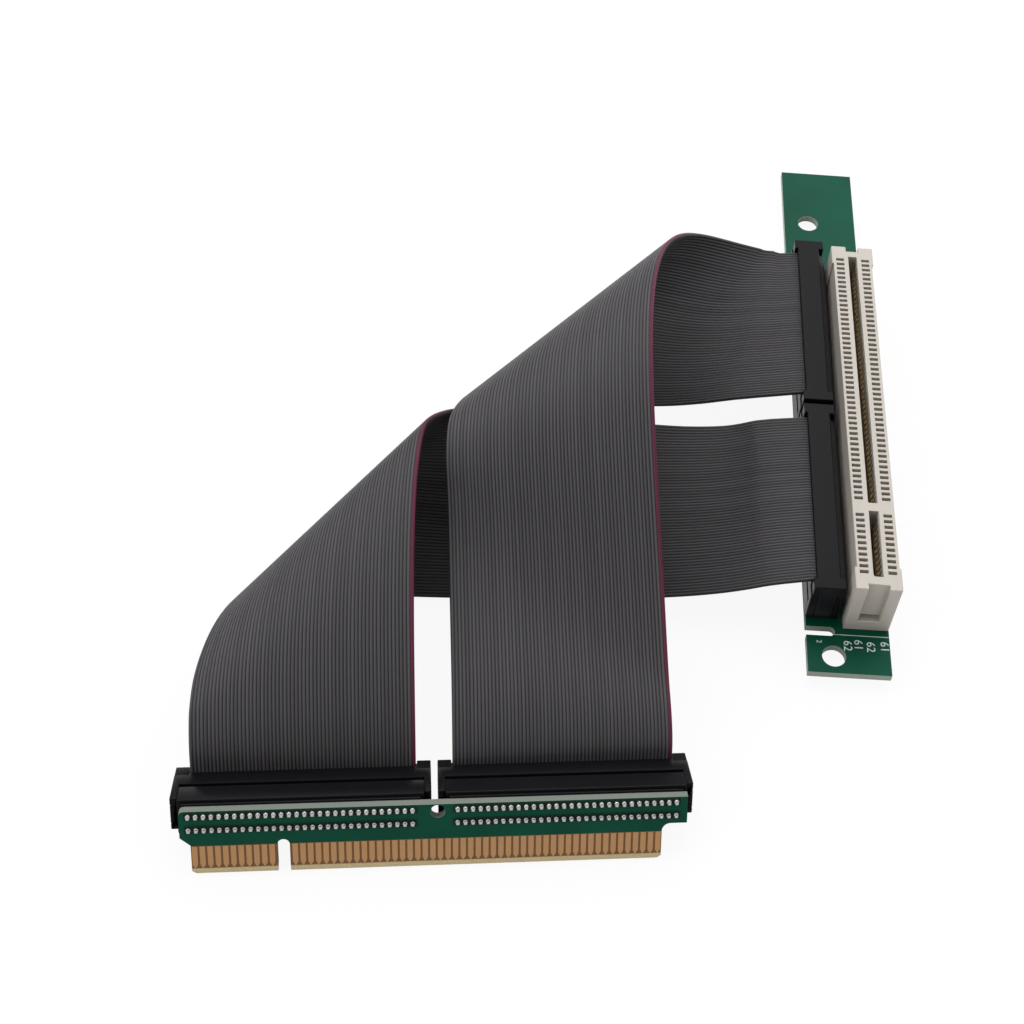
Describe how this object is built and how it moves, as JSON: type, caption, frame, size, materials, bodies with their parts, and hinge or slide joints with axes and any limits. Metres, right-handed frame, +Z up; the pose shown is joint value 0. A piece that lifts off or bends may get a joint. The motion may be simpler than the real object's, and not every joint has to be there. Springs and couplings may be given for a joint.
{
  "type": "pci extender cable",
  "caption": "Keyed edge-card plug board joined by two folded flat ribbon cables to a narrow riser board with a card slot.",
  "frame": {"origin": "middle of the footprint of the part as it lies, on the surface that it lies on", "axes": "+Z up from the surface, +Y from the plug board towards the far end of the riser board, +X from the ribbons towards the riser board"},
  "size_m": [0.1256, 0.1744, 0.0387],
  "materials": {
    "board": "green solder mask over glass laminate",
    "slot": "moulded cream plastic",
    "connector": "moulded black plastic",
    "ribbon": "ribbed grey cable jacket",
    "gold": "thin gold plating",
    "tin": "tinned"
  },
  "bodies": {
    "root": {"plug_board": "board", "plug_fingers_back": "gold", "plug_fingers_front": "gold", "plug_left_base": "connector", "plug_left_cover": "connector", "plug_left_pins": "tin", "plug_left_strain_relief": "connector", "plug_right_base": "connector", "plug_right_cover": "connector", "plug_right_pins": "tin", "plug_right_strain_relief": "connector", "ribbon_lower": "ribbon", "ribbon_upper": "ribbon", "riser_board": "board", "riser_lower_base": "connector", "riser_lower_cover": "connector", "riser_lower_pins": "tin", "riser_lower_strain_relief": "connector", "riser_upper_base": "connector", "riser_upper_cover": "connector", "riser_upper_pins": "tin", "riser_upper_strain_relief": "connector", "slot_housing": "slot", "slot_springs_a": "gold", "slot_springs_b": "gold", "slot_tails": "tin"}
  },
  "joints": []
}
